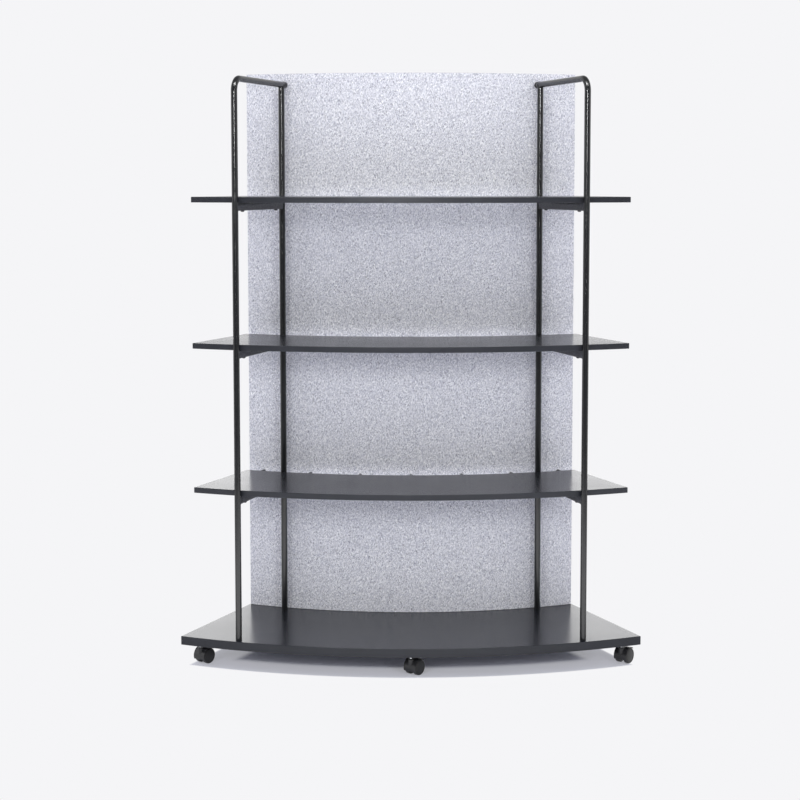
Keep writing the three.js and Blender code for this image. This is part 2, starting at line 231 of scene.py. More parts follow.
def powder_coated_steel():
    """Polyester powder baked on steel: satin, with a soft orange-peel skin that ripples its highlights."""
    material, tree, shader, place = new_finish("powder_coated_steel", IOR=1.5)
    fleck = add(tree, "ShaderNodeTexNoise", {"Vector": place, "Scale": 1 / (1.6 * MM), "Detail": 2.0})
    colour = add(tree, "ShaderNodeMix", {
        "Factor_Float": fleck.outputs["Fac"], "A_Color": linear("#141517"), "B_Color": linear("#191a1c"),
    }, data_type="RGBA")
    tree.links.new(socket(colour.outputs, "Result_Color"), shader.inputs["Base Color"])
    rubbed = add(tree, "ShaderNodeTexNoise", {"Vector": place, "Scale": 1 / (45 * MM), "Detail": 4.0})
    rough = add(tree, "ShaderNodeMapRange", {
        "Value": rubbed.outputs["Fac"], "From Min": 0.3, "From Max": 0.7, "To Min": 0.2, "To Max": 0.24,
    })
    tree.links.new(rough.outputs["Result"], shader.inputs["Roughness"])
    # Orange peel is 1 to 2 mm across and a few hundredths deep.
    peel = add(tree, "ShaderNodeTexNoise", {"Vector": place, "Scale": 1 / (1.8 * MM), "Detail": 1.0})
    bump = add(tree, "ShaderNodeBump", {
        "Height": peel.outputs["Fac"], "Strength": 0.12, "Distance": 0.04 * MM,
    })
    tree.links.new(bump.outputs["Normal"], shader.inputs["Normal"])
    return material


def pressed_polyester_felt():
    """Polyester fibres of several greys, needled and pressed to a board: matt, with soft flecks."""
    material, tree, shader, place = new_finish("pressed_polyester_felt", Roughness=0.95, IOR=1.45)
    shader.inputs["Specular IOR Level"].default_value = 0.25
    shader.inputs["Sheen Weight"].default_value = 0.15
    shader.inputs["Sheen Roughness"].default_value = 0.6
    # Fibres lie in loose, curving tufts, two to three times as long as they are wide. Each layer has its lean
    # off upright in radians, and the width and length of its tufts in millimetres.
    wander = add(tree, "ShaderNodeTexNoise", {"Vector": place, "Scale": 1 / (30 * MM), "Detail": 2.0})
    stray = add(tree, "ShaderNodeVectorMath", {
        0: wander.outputs["Color"], 1: (14 * MM, 14 * MM, 14 * MM),
    }, operation="MULTIPLY")
    warped = add(tree, "ShaderNodeVectorMath", {0: place, 1: stray.outputs[0]}, operation="ADD")
    layers = []
    for lean, width, length in ((-0.3, 2.8, 6.8), (0.2, 1.8, 4.3), (-0.9, 1.0, 2.9)):
        leaned = add(tree, "ShaderNodeVectorRotate", {
            "Vector": warped.outputs[0], "Angle": lean,
        }, rotation_type="Y_AXIS")
        stretch = add(tree, "ShaderNodeVectorMath", {
            0: leaned.outputs[0], 1: (1 / (width * MM), 1 / (width * MM), 1 / (length * MM)),
        }, operation="MULTIPLY")
        layers.append(add(tree, "ShaderNodeTexNoise", {
            "Vector": stretch.outputs[0], "Scale": 1.0, "Detail": 2.0, "Roughness": 0.6,
        }).outputs["Fac"])
    # Light tufts first, then the darker fibres among them, then the finest ones.
    tuft = add(tree, "ShaderNodeMapRange", {"Value": layers[0], "From Min": 0.34, "From Max": 0.62})
    fleck = add(tree, "ShaderNodeMapRange", {"Value": layers[1], "From Min": 0.54, "From Max": 0.67})
    thread = add(tree, "ShaderNodeMapRange", {"Value": layers[2], "From Min": 0.35, "From Max": 0.7})
    ground = add(tree, "ShaderNodeMix", {
        "Factor_Float": tuft.outputs["Result"], "A_Color": linear("#bcbeca"), "B_Color": linear("#ffffff"),
    }, data_type="RGBA")
    darker = add(tree, "ShaderNodeMix", {
        "Factor_Float": fleck.outputs["Result"], "A_Color": socket(ground.outputs, "Result_Color"),
        "B_Color": linear("#565865"),
    }, data_type="RGBA")
    mottled = add(tree, "ShaderNodeMix", {
        "Factor_Float": thread.outputs["Result"], "A_Color": socket(darker.outputs, "Result_Color"),
        "B_Color": linear("#cfd0d9"),
    }, data_type="RGBA", blend_type="MULTIPLY")
    tree.links.new(socket(mottled.outputs, "Result_Color"), shader.inputs["Base Color"])
    relief = add(tree, "ShaderNodeMath", {0: layers[1], 1: layers[2]}, operation="ADD")
    bump = add(tree, "ShaderNodeBump", {"Height": relief.outputs[0], "Strength": 0.5, "Distance": 0.4 * MM})
    tree.links.new(bump.outputs["Normal"], shader.inputs["Normal"])
    return material


def moulded_polymer(name, dark, light, smooth, dull):
    """Injection-moulded black polymer: satin, with a spark-eroded grain and faint flow clouds."""
    material, tree, shader, place = new_finish(name, IOR=1.53)
    flow = add(tree, "ShaderNodeTexNoise", {"Vector": place, "Scale": 1 / (14 * MM), "Detail": 3.0})
    colour = add(tree, "ShaderNodeMix", {
        "Factor_Float": flow.outputs["Fac"], "A_Color": linear(dark), "B_Color": linear(light),
    }, data_type="RGBA")
    tree.links.new(socket(colour.outputs, "Result_Color"), shader.inputs["Base Color"])
    rough = add(tree, "ShaderNodeMapRange", {"Value": flow.outputs["Fac"], "To Min": smooth, "To Max": dull})
    tree.links.new(rough.outputs["Result"], shader.inputs["Roughness"])
    # The grain is 0.1 to 0.2 mm across. It is drawn at 0.5 mm, so that it shows.
    grain = add(tree, "ShaderNodeTexNoise", {"Vector": place, "Scale": 1 / (0.5 * MM), "Detail": 1.0})
    bump = add(tree, "ShaderNodeBump", {
        "Height": grain.outputs["Fac"], "Strength": 0.4, "Distance": 0.03 * MM,
    })
    tree.links.new(bump.outputs["Normal"], shader.inputs["Normal"])
    return material


def zinc_plated_steel():
    """Bright zinc on turned steel: a pale, slightly blue metal with fine turning lines."""
    material, tree, shader, place = new_finish("zinc_plated_steel", Metallic=1.0)
    bloom = add(tree, "ShaderNodeTexNoise", {"Vector": place, "Scale": 1 / (3 * MM), "Detail": 3.0})
    colour = add(tree, "ShaderNodeMix", {
        "Factor_Float": bloom.outputs["Fac"], "A_Color": linear("#bfc3c8"), "B_Color": linear("#d9dbde"),
    }, data_type="RGBA")
    tree.links.new(socket(colour.outputs, "Result_Color"), shader.inputs["Base Color"])
    rough = add(tree, "ShaderNodeMapRange", {"Value": bloom.outputs["Fac"], "To Min": 0.18, "To Max": 0.32})
    tree.links.new(rough.outputs["Result"], shader.inputs["Roughness"])
    # Turning lines run round the stem, about 0.13 mm apart: at scale 1 this texture's bands are 0.31 apart.
    lines = add(tree, "ShaderNodeTexWave", {
        "Vector": place, "Scale": 1 / (0.4 * MM), "Distortion": 0.4,
    }, bands_direction="Z")
    bump = add(tree, "ShaderNodeBump", {
        "Height": lines.outputs["Fac"], "Strength": 0.3, "Distance": 0.01 * MM,
    })
    tree.links.new(bump.outputs["Normal"], shader.inputs["Normal"])
    return material


laminate = satin_laminate("satin_laminate", "#1e2026", "#25272e")
coated = powder_coated_steel()
felt = pressed_polyester_felt()
hood_polyamide = moulded_polymer("moulded_polyamide", "#1a1a1c", "#232326", 0.3, 0.4)
# Painted shade: the wheels get a darker polyamide than the hood, which stands for the deep shade on their
# treads under the hood.
wheel_polyamide_painted_shade = moulded_polymer("moulded_wheel_polyamide", "#0d0d0e", "#131314", 0.34, 0.44)
polyethylene = moulded_polymer("moulded_polyethylene", "#0d0d0f", "#131315", 0.36, 0.46)
zinc = zinc_plated_steel()


# Making meshes

def linked(name, mesh):
    made = bpy.data.objects.new(name, mesh)
    bpy.context.scene.collection.objects.link(made)
    return made


def settled(worked):
    """The plain mesh of an object with its modifiers, which is then taken away."""
    evaluated = worked.evaluated_get(bpy.context.evaluated_depsgraph_get())
    mesh = bpy.data.meshes.new_from_object(evaluated)
    bpy.data.objects.remove(worked)
    return mesh


def new_tree(name, inputs):
    """A Geometry Nodes tree with its named inputs, and its first and last node."""
    tree = bpy.data.node_groups.new(name, "GeometryNodeTree")
    tree.interface.new_socket("Geometry", in_out="INPUT", socket_type="NodeSocketGeometry")
    for label, kind in inputs.items():
        tree.interface.new_socket(label, in_out="INPUT", socket_type="NodeSocket" + kind)
    tree.interface.new_socket("Geometry", in_out="OUTPUT", socket_type="NodeSocketGeometry")
    return tree, add(tree, "NodeGroupInput").outputs, add(tree, "NodeGroupOutput")


def finish_tree(tree, geometry, material, last):
    """Ends a tree: real geometry, smooth faces and the given material."""
    real = add(tree, "GeometryNodeRealizeInstances", {"Geometry": geometry})
    smooth = add(tree, "GeometryNodeSetShadeSmooth", {"Geometry": real.outputs[0]})
    dressed = add(tree, "GeometryNodeSetMaterial", {"Geometry": smooth.outputs[0], "Material": material})
    tree.links.new(dressed.outputs[0], last.inputs[0])


def grown(tree, values, mesh=None):
    """The plain mesh that a tree makes with these values."""
    seed = linked(tree.name, mesh or bpy.data.meshes.new(tree.name))
    modifier = seed.modifiers.new(tree.name, "NODES")
    modifier.node_group = tree
    for item in tree.interface.items_tree:
        if item.in_out == "INPUT" and item.name in values:
            modifier[item.identifier] = values[item.name]
    return settled(seed)


def ring_sheet_tree():
    """A sheet bent about the plan axis, from its first radius and level to its last, even or a bit uneven."""
    tree, given, last = new_tree("ring_sheet", {
        "Half Angle": "Float", "First Radius": "Float", "Last Radius": "Float", "First Level": "Float",
        "Last Level": "Float", "Steps Round": "Int", "Steps Across": "Int", "Unevenness": "Float",
        "Uneven Size": "Float", "Material": "Material",
    })
    grid = add(tree, "GeometryNodeMeshGrid", {
        "Size X": 2.0, "Size Y": 1.0, "Vertices X": given["Steps Round"], "Vertices Y": given["Steps Across"],
    })
    place = add(tree, "ShaderNodeSeparateXYZ", {0: add(tree, "GeometryNodeInputPosition").outputs[0]})
    angle = add(tree, "ShaderNodeMath", {
        0: place.outputs["X"], 1: given["Half Angle"],
    }, operation="MULTIPLY").outputs[0]
    share = add(tree, "ShaderNodeMath", {0: place.outputs["Y"], 1: 0.5}, operation="ADD").outputs[0]
    radius = add(tree, "ShaderNodeMapRange", {
        "Value": share, "To Min": given["First Radius"], "To Max": given["Last Radius"],
    }).outputs["Result"]
    level = add(tree, "ShaderNodeMapRange", {
        "Value": share, "To Min": given["First Level"], "To Max": given["Last Level"],
    }).outputs["Result"]
    # The noise is read round the arc and up, in real lengths.
    arc = add(tree, "ShaderNodeMath", {0: angle, 1: given["First Radius"]}, operation="MULTIPLY").outputs[0]
    flat = add(tree, "ShaderNodeCombineXYZ", {"X": arc, "Z": level}).outputs[0]
    finer = add(tree, "ShaderNodeMath", {0: 1.0, 1: given["Uneven Size"]}, operation="DIVIDE").outputs[0]
    noise = add(tree, "ShaderNodeTexNoise", {"Vector": flat, "Scale": finer, "Detail": 2.0}).outputs["Fac"]
    swing = add(tree, "ShaderNodeMapRange", {"Value": noise, "To Min": -1.0, "To Max": 1.0}).outputs["Result"]
    uneven = add(tree, "ShaderNodeMath", {
        0: swing, 1: given["Unevenness"], 2: radius,
    }, operation="MULTIPLY_ADD").outputs[0]
    sine = add(tree, "ShaderNodeMath", {0: angle}, operation="SINE").outputs[0]
    cosine = add(tree, "ShaderNodeMath", {0: angle}, operation="COSINE").outputs[0]
    across = add(tree, "ShaderNodeMath", {0: uneven, 1: sine}, operation="MULTIPLY").outputs[0]
    back = add(tree, "ShaderNodeMath", {0: uneven, 1: cosine}, operation="MULTIPLY").outputs[0]
    forward = add(tree, "ShaderNodeMath", {0: PLAN_AXIS_Y, 1: back}, operation="SUBTRACT").outputs[0]
    bent = add(tree, "ShaderNodeCombineXYZ", {"X": across, "Y": forward, "Z": level}).outputs[0]
    moved = add(tree, "GeometryNodeSetPosition", {"Geometry": grid.outputs["Mesh"], "Position": bent})
    finish_tree(tree, moved.outputs[0], given["Material"], last)
    return tree


def section_tree():
    """A bar or tube along edges: each corner of the path and of the section is rounded by its own radius."""
    tree, given, last = new_tree("section_along_path", {
        "Width": "Float", "Height": "Float", "Corner": "Float", "Corner Steps": "Int", "Bend": "Float",
        "Bend Steps": "Int", "Material": "Material",
    })
    path = add(tree, "GeometryNodeMeshToCurve", {"Mesh": given["Geometry"]})
    bent = add(tree, "GeometryNodeFilletCurve", {
        "Curve": path.outputs[0], "Count": given["Bend Steps"], "Radius": given["Bend"], "Limit Radius": True,
    }, mode="POLY")
    outline = add(tree, "GeometryNodeCurvePrimitiveQuadrilateral", {
        "Width": given["Width"], "Height": given["Height"],
    })
    rounded_outline = add(tree, "GeometryNodeFilletCurve", {
        "Curve": outline.outputs[0], "Count": given["Corner Steps"], "Radius": given["Corner"],
        "Limit Radius": True,
    }, mode="POLY")
    swept = add(tree, "GeometryNodeCurveToMesh", {
        "Curve": bent.outputs[0], "Profile Curve": rounded_outline.outputs[0], "Fill Caps": True,
    })
    clean = add(tree, "GeometryNodeMergeByDistance", {"Geometry": swept.outputs[0], "Distance": 0.01 * MM})
    finish_tree(tree, clean.outputs[0], given["Material"], last)
    return tree


def rows_on_arc_tree():
    """Copies of a small part, evenly round an arc about the plan axis and in even rows up."""
    tree, given, last = new_tree("rows_on_arc", {
        "Radius": "Float", "Half Angle": "Float", "Across": "Int", "First Level": "Float",
        "Row Pitch": "Float", "Rows": "Int", "Upright": "Bool", "Material": "Material",
    })
    first = add(tree, "ShaderNodeMath", {0: -math.pi / 2, 1: given["Half Angle"]}, operation="SUBTRACT")
    sweep = add(tree, "ShaderNodeMath", {0: given["Half Angle"], 1: 2.0}, operation="MULTIPLY")
    arc = add(tree, "GeometryNodeCurveArc", {
        "Resolution": given["Across"], "Radius": given["Radius"], "Start Angle": first.outputs[0],
        "Sweep Angle": sweep.outputs[0],
    }, mode="RADIUS")
    outward = add(tree, "FunctionNodeAlignRotationToVector", {
        "Vector": add(tree, "GeometryNodeInputPosition").outputs[0],
    }, axis="Z")
    turn = add(tree, "GeometryNodeSwitch", {
        "Switch": given["Upright"], "False": outward.outputs[0],
    }, input_type="ROTATION")
    row = add(tree, "GeometryNodeInstanceOnPoints", {
        "Points": arc.outputs[0], "Instance": given["Geometry"], "Rotation": turn.outputs[0],
    })
    start = add(tree, "ShaderNodeCombineXYZ", {"Y": PLAN_AXIS_Y, "Z": given["First Level"]})
    step = add(tree, "ShaderNodeCombineXYZ", {"Z": given["Row Pitch"]})
    levels = add(tree, "GeometryNodeMeshLine", {
        "Count": given["Rows"], "Start Location": start.outputs[0], "Offset": step.outputs[0],
    })
    rows = add(tree, "GeometryNodeInstanceOnPoints", {
        "Points": levels.outputs[0], "Instance": row.outputs[0],
    })
    finish_tree(tree, rows.outputs[0], given["Material"], last)
    return tree


ring_sheet = ring_sheet_tree()
section_along_path = section_tree()
rows_on_arc = rows_on_arc_tree()


def eased(mesh, width, thickness=None):
    """A mesh with its sharp arrises rounded, first given a thickness behind its faces if it is a sheet."""
    worked = linked(mesh.name, mesh)
    if thickness:
        solid = worked.modifiers.new("thickness", "SOLIDIFY")
        solid.thickness = thickness
        solid.offset = -1
        solid.use_even_offset = True
    rounding = worked.modifiers.new("arrises", "BEVEL")
    rounding.width = width
    rounding.segments = ARRIS_STEPS
    rounding.limit_method = "ANGLE"
    rounding.angle_limit = ARRIS_FROM
    rounding.harden_normals = True
    return settled(worked)


def combined(mesh, tools, how):
    """A closed mesh with others joined to it or cut from it."""
    worked = linked(mesh.name, mesh)
    helpers = [linked("tool", tool) for tool in tools]
    for helper in helpers:
        change = worked.modifiers.new("change", "BOOLEAN")
        change.operation = how
        change.object = helper
        change.solver = "EXACT"
    made = settled(worked)
    for helper in helpers:
        bpy.data.objects.remove(helper)
    return made


def gathered(meshes):
    """Several meshes as one."""
    joined = bmesh.new()
    for mesh in meshes:
        joined.from_mesh(mesh)
    made = bpy.data.meshes.new(meshes[0].name)
    joined.to_mesh(made)
    joined.free()
    for material in meshes[0].materials:
        made.materials.append(material)
    return made


def path_mesh(points, closed=False):
    """A mesh of edges alone, from point to point."""
    mesh = bpy.data.meshes.new("path")
    edges = [(place, place + 1) for place in range(len(points) - 1)]
    if closed:
        edges.append((len(points) - 1, 0))
    mesh.from_pydata(points, edges, [])
    return mesh


def rounded(corners, steps=5):
    """A profile of (radius, level) points from (radius, level, fillet) corners."""
    points = []
    for place, (radius, level, fillet) in enumerate(corners):
        here = Vector((radius, level))
        if fillet == 0 or place in (0, len(corners) - 1):
            points.append(here)
            continue
        before = (Vector(corners[place - 1][:2]) - here).normalized()
        after = (Vector(corners[place + 1][:2]) - here).normalized()
        half = before.angle(after) / 2
        centre = here + (before + after).normalized() * (fillet / math.sin(half))
        reach = fillet / math.tan(half)
        first = here + before * reach - centre
        swing = first.angle_signed(here + after * reach - centre)
        for step in range(steps + 1):
            points.append(centre + Matrix.Rotation(-swing * step / steps, 2) @ first)
    return points


def turned(profile, facets):
    """A closed round mesh about +Z from a profile that starts and ends on the axis."""
    work = bmesh.new()
    rings = []
    for radius, level in profile:
        count = facets if radius > 0 else 1
        turns = [2 * math.pi * place / facets for place in range(count)]
        rings.append([work.verts.new((radius * math.cos(t), radius * math.sin(t), level)) for t in turns])
    for lower, upper in zip(rings, rings[1:]):
        for place in range(facets):
            beside = (place + 1) % facets
            corners = [lower[place % len(lower)], lower[beside % len(lower)],
                       upper[beside % len(upper)], upper[place % len(upper)]]
            work.faces.new(dict.fromkeys(corners))
    bmesh.ops.recalc_face_normals(work, faces=work.faces)
    mesh = bpy.data.meshes.new("turned")
    work.to_mesh(mesh)
    work.free()
    return mesh


def extruded(outline, low, high):
    """A closed prism along Z from an outline of (x, y) points."""
    work = bmesh.new()
    lower = [work.verts.new((x, y, low)) for x, y in outline]
    upper = [work.verts.new((x, y, high)) for x, y in outline]
    work.faces.new(lower)
    work.faces.new(upper)
    for place in range(len(outline)):
        beside = (place + 1) % len(outline)
        work.faces.new((lower[place], lower[beside], upper[beside], upper[place]))
    bmesh.ops.recalc_face_normals(work, faces=work.faces)
    mesh = bpy.data.meshes.new("extruded")
    work.to_mesh(mesh)
    work.free()
    return mesh


def arc_points(radius, start, end, steps):
    """Points (x, y) on an arc about the origin, between two angles in degrees."""
    turns = [math.radians(start + (end - start) * step / steps) for step in range(steps + 1)]
    return [(radius * math.cos(turn), radius * math.sin(turn)) for turn in turns]


def smoothed(mesh, sharp_from=40):
    """Smooth between the sharp edges, with the large faces kept flat."""
    mesh.shade_smooth()
    mesh.set_sharp_from_angle(angle=math.radians(sharp_from))
    worked = linked(mesh.name, mesh)
    normals = worked.modifiers.new("normals", "WEIGHTED_NORMAL")
    normals.keep_sharp = True
    return settled(worked)


def placed(mesh, matrix):
    """A copy of a mesh, moved to its place."""
    copy = mesh.copy()
    copy.transform(matrix)
    return copy


def piece(name, mesh, material, body, replaced=()):
    """A finished piece: its object at the origin, riding a body and standing for the frame's own nodes."""
    mesh.name = name
    mesh.materials.clear()
    mesh.materials.append(material)
    made = linked(name, mesh)
    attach(made, body)
    if replaced:
        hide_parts(*replaced)


def about_plan_axis(angle):
    """The plan axis as an origin, turned by an angle: -Y of it points at the middle of a frame."""
    return Matrix.Translation(PLAN_AXIS) @ Matrix.Rotation(angle, 4, "Z")


# Boards and felt

def ring_board(node, rear_radius, front_radius):
    """A board with rounded arrises, as thick and as wide as its node."""
    bottom, top = height_of(node)
    sheet = grown(ring_sheet, {
        "Half Angle": half_angle_of(node, front_radius), "First Radius": front_radius,
        "Last Radius": rear_radius, "First Level": top, "Last Level": top, "Steps Round": 97,
        "Steps Across": 2, "Unevenness": 0.0, "Uneven Size": FELT_UNEVEN_SIZE, "Material": laminate,
    })
    return eased(sheet, BOARD_ARRIS, thickness=top - bottom)


def foot_places():
    """Where the four posts stand, as (radius, angle)."""
    angles = (-FRAME_HALF_ANGLE, FRAME_HALF_ANGLE)
    return [(radius, angle) for radius in (FRONT_POST_RADIUS, REAR_POST_RADIUS) for angle in angles]


def make_boards():
    below = -1 * MM
    recess = turned([
        (0, below), (BOLT_RECESS_RADIUS, below), (BOLT_RECESS_RADIUS, BOLT_RECESS_DEPTH),
        (0, BOLT_RECESS_DEPTH),
    ], 32)
    holes = []
    for radius, angle in foot_places():
        holes.append(placed(recess, about_plan_axis(angle) @ Matrix.Translation((0, -radius, BASE_BOTTOM))))
    board = ring_board("base_board", BASE_REAR_RADIUS, BASE_FRONT_RADIUS)
    board = smoothed(combined(board, holes, "DIFFERENCE"))
    piece("base_board_laminate", board, laminate, "unit", ["base_board"])
    for name in SHELVES:
        board = ring_board(name + "_shelf", SHELF_REAR_RADIUS, SHELF_FRONT_RADIUS)
        piece(name + "_shelf_laminate", board, laminate, "unit", [name + "_shelf"])


def make_felt():
    bottom, top = height_of("felt_panel")
    sheet = grown(ring_sheet, {
        "Half Angle": half_angle_of("felt_panel", FELT_FRONT_RADIUS), "First Radius": FELT_FRONT_RADIUS,
        "Last Radius": FELT_FRONT_RADIUS, "First Level": bottom, "Last Level": top, "Steps Round": 109,
        "Steps Across": 173, "Unevenness": FELT_UNEVENNESS, "Uneven Size": FELT_UNEVEN_SIZE, "Material": felt,
    })
    panel = eased(sheet, FELT_ARRIS, thickness=FELT_THICKNESS)
    piece("felt_panel_pressed", panel, felt, "unit", ["felt_panel"])


# Frames

def section(points, width, height, corner, corner_steps, bend=0.01 * MM, bend_steps=1, closed=False):
    """A coated bar or tube along a path. Without a bend radius its corners stay all but sharp."""
    return grown(section_along_path, {
        "Width": width, "Height": height, "Corner": corner, "Corner Steps": corner_steps, "Bend": bend,
        "Bend Steps": bend_steps, "Material": coated,
    }, path_mesh(points, closed))


def tube(points):
    return section(points, 2 * TUBE_RADIUS, 2 * TUBE_RADIUS, TUBE_RADIUS, 9, BEND_RADIUS, 18)


def weld(points):
    return section(points, 2 * WELD_RADIUS, 2 * WELD_RADIUS, WELD_RADIUS, 2, closed=True)


def rail_weld():
    """Bead where the rear post meets the underside of the rail: two equal tubes at a right angle."""
    points = []
    for step in range(WELD_STEPS):
        turn = 2 * math.pi * step / WELD_STEPS
        sag = TUBE_RADIUS * abs(math.cos(turn))
        points.append((TUBE_RADIUS * math.sin(turn), TUBE_RADIUS * math.cos(turn) - REAR_POST_RADIUS,
                       RAIL_LEVEL - sag))
    return weld(points)


def bar_weld(radius, towards, bottom, top):
    """Bead round the end of a support bar, on the skin of its post."""
    half = BAR_WIDTH / 2
    steps = 6
    across = [half * (2 * step / steps - 1) for step in range(steps + 1)]
    points = [(x, bottom) for x in across]
    points += [(x, top) for x in reversed(across)]
    skin = [math.sqrt(TUBE_RADIUS ** 2 - x ** 2) for x, _ in points]
    return weld([(x, towards * s - radius, z) for (x, z), s in zip(points, skin)])


def make_frame(side, angle):
    turn = about_plan_axis(angle)
    front = tube([
        (0, -FRONT_POST_RADIUS, BASE_TOP), (0, -FRONT_POST_RADIUS, RAIL_LEVEL),
        (0, -RAIL_END_RADIUS, RAIL_LEVEL),
    ])
    piece(side + "_front_tube_bent", placed(front, turn), coated, "unit", [side + "_front_tube"])
    rear = tube([(0, -REAR_POST_RADIUS, BASE_TOP), (0, -REAR_POST_RADIUS, RAIL_LEVEL - TUBE_WALL)])
    rear = gathered([rear, rail_weld()])
    piece(side + "_rear_post_welded", placed(rear, turn), coated, "unit", [side + "_rear_post"])
    parts = []
    for name in SHELVES:
        top = height_of(name + "_shelf")[0]
        # The node reaches down to the heads of the bar's screws.
        bottom = height_of(f"{side}_{name}_support_bar")[0] + BAR_SCREW_HEIGHT
        middle = (top + bottom) / 2
        ends = [
            (0, -REAR_POST_RADIUS - BAR_END_OFFSET, middle), (0, -FRONT_POST_RADIUS + BAR_END_OFFSET, middle),
        ]
        parts.append(section(ends, BAR_WIDTH, top - bottom, BAR_CORNER, 4))
        parts.append(bar_weld(REAR_POST_RADIUS, -1, bottom, top))
        parts.append(bar_weld(FRONT_POST_RADIUS, 1, bottom, top))
    nodes = [f"{side}_{name}_support_bar" for name in SHELVES]
    piece(side + "_support_bars_welded", placed(gathered(parts), turn), coated, "unit", nodes)
    make_rail_plug(side, turn)


def make_rail_plug(side, turn):
    """Cap over the rail's open end, 0.3 mm clear of the felt, with a spigot into the tube."""
    back = -0.3 * MM
    rim = RAIL_END_RADIUS - FELT_FRONT_RADIUS - 1 * MM
    tip = rim + SPIGOT_LENGTH
    plug = smoothed(turned(rounded([
        (0, back, 0), (CAP_RADIUS, back, 3 * MM), (CAP_RADIUS, rim, 0.8 * MM),
        (SPIGOT_RADIUS + 0.2 * MM, rim + 0.1 * MM, 0.2 * MM), (SPIGOT_RADIUS, tip, 1 * MM), (0, tip, 0),
    ]), 48))
    seat = Matrix.Translation((0, -FELT_FRONT_RADIUS + 2 * back, RAIL_LEVEL))
    lie = seat @ Matrix.Rotation(math.pi / 2, 4, "X")
    piece(side + "_rail_plug_moulded", placed(plug, turn @ lie), polyethylene, "unit",
          [side + "_rail_plug"])


def socket_head(radius, height, key_width, key_depth):
    """Domed screw head on +Z with a six-sided socket."""
    head = turned(rounded([
        (0, 0, 0), (radius, 0, 0.2 * MM), (radius, height * 0.4, 0.5 * MM),
        (radius * 0.55, height, 1 * MM), (0, height, 0),
    ]), 32)
    key = extruded(arc_points(key_width / 2, 0, 300, 5), height - key_depth, height + 1 * MM)
    return smoothed(combined(head, [key], "DIFFERENCE"), 30)


def hung_on_frames(name, head, radii, first, pitch, rows, material):
    """A piece of like heads, hung under both frames at these radii, in rows up."""
    hung = placed(head, Matrix.Rotation(math.pi, 4, "X"))
    parts = []
    for radius in radii:
        parts.append(grown(rows_on_arc, {
            "Radius": radius, "Half Angle": FRAME_HALF_ANGLE, "Across": 2, "First Level": first,
            "Row Pitch": pitch, "Rows": rows, "Upright": True, "Material": material,
        }, hung.copy()))
    piece(name, gathered(parts), material, "unit")


def make_fasteners():
    low = height_of("left_low_support_bar")[0]
    pitch = height_of("left_middle_support_bar")[0] - low
    inset = (FRONT_POST_RADIUS - BAR_SCREW_INSET, REAR_POST_RADIUS + BAR_SCREW_INSET)
    hung_on_frames("support_bar_screws", socket_head(*BAR_SCREW_HEAD), inset, low + BAR_SCREW_HEIGHT, pitch,
                   len(SHELVES), coated)
    feet = (FRONT_POST_RADIUS, REAR_POST_RADIUS)
    hung_on_frames("foot_bolts", socket_head(*FOOT_BOLT_HEAD), feet, BASE_BOTTOM + BOLT_SEAT_DEPTH, 0.0, 1,
                   zinc)


def make_spacers():
    length = SHELF_REAR_RADIUS - FELT_FRONT_RADIUS
    spacer = smoothed(turned(rounded([
        (0, 0, 0), (SPACER_RADIUS, 0, 0.5 * MM), (SPACER_RADIUS, length, 0.5 * MM), (0, length, 0),
    ], 3), 24))
    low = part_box("low_shelf_spacer_1")
    first = (low[0].z + low[1].z) / 2
    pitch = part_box("middle_shelf_spacer_1")[0].z - low[0].z
    rows = {
        "Half Angle": (SPACERS_ACROSS - 1) / 2 * SPACER_PITCH, "Across": SPACERS_ACROSS,
        "First Level": first, "Row Pitch": pitch, "Rows": len(SHELVES), "Upright": False,
    }
    nodes = [f"{name}_shelf_spacer_{place + 1}" for name in SHELVES for place in range(SPACERS_ACROSS)]
    spacers = grown(rows_on_arc, {**rows, "Radius": FELT_FRONT_RADIUS, "Material": coated}, spacer)
    piece("felt_spacers", spacers, coated, "unit", nodes)
    washer = turned(rounded([
        (0, 0, 0), (WASHER_RADIUS, 0, 0.3 * MM), (WASHER_RADIUS, WASHER_THICKNESS, 0.4 * MM),
        (0, WASHER_THICKNESS, 0),
    ], 2), 32)
    screw = placed(socket_head(*FELT_SCREW_HEAD), Matrix.Translation((0, 0, WASHER_THICKNESS)))
    behind = placed(smoothed(gathered([washer, screw]), 30), Matrix.Rotation(math.pi, 4, "X"))
    screws = grown(rows_on_arc, {
        **rows, "Radius": FELT_FRONT_RADIUS - FELT_THICKNESS, "Material": coated,
    }, behind)
    piece("felt_screws", screws, coated, "unit")


# Castors

def wheel_mesh():
    """Wheel about +Z from its inner face: hub and bore, a hollow, a rounded tread and a crowned disc."""
    disc_level = WHEEL_WIDTH - 0.5 * MM
    groove = WHEEL_WIDTH - 0.9 * MM
    profile = rounded([
        (0, BORE_DEPTH, 0), (BORE_RADIUS, BORE_DEPTH, 0.2 * MM), (BORE_RADIUS, 0, 0.3 * MM),
        (HUB_RADIUS, 0, 0.4 * MM), (HUB_RADIUS + DRAFT, HOLLOW_DEPTH, 1 * MM),
        (HOLLOW_RADIUS - DRAFT, HOLLOW_DEPTH, 1 * MM), (HOLLOW_RADIUS, 0, 0.4 * MM),
        (WHEEL_RADIUS, 0, 3.5 * MM), (WHEEL_RADIUS, WHEEL_WIDTH, 4 * MM), (20.2 * MM, WHEEL_WIDTH, 0.4 * MM),
        (19.9 * MM, groove, 0.2 * MM), (19.3 * MM, groove, 0.2 * MM), (DISC_RADIUS, disc_level, 0),
    ])
    sphere = (DISC_RADIUS ** 2 + DISC_CROWN ** 2) / (2 * DISC_CROWN)
    for step in range(1, CROWN_STEPS + 1):
        radius = DISC_RADIUS * (1 - step / CROWN_STEPS)
        rise = math.sqrt(sphere ** 2 - radius ** 2) - (sphere - DISC_CROWN)
        profile.append(Vector((radius, disc_level + rise)))
    return smoothed(turned(profile, 64), 30)


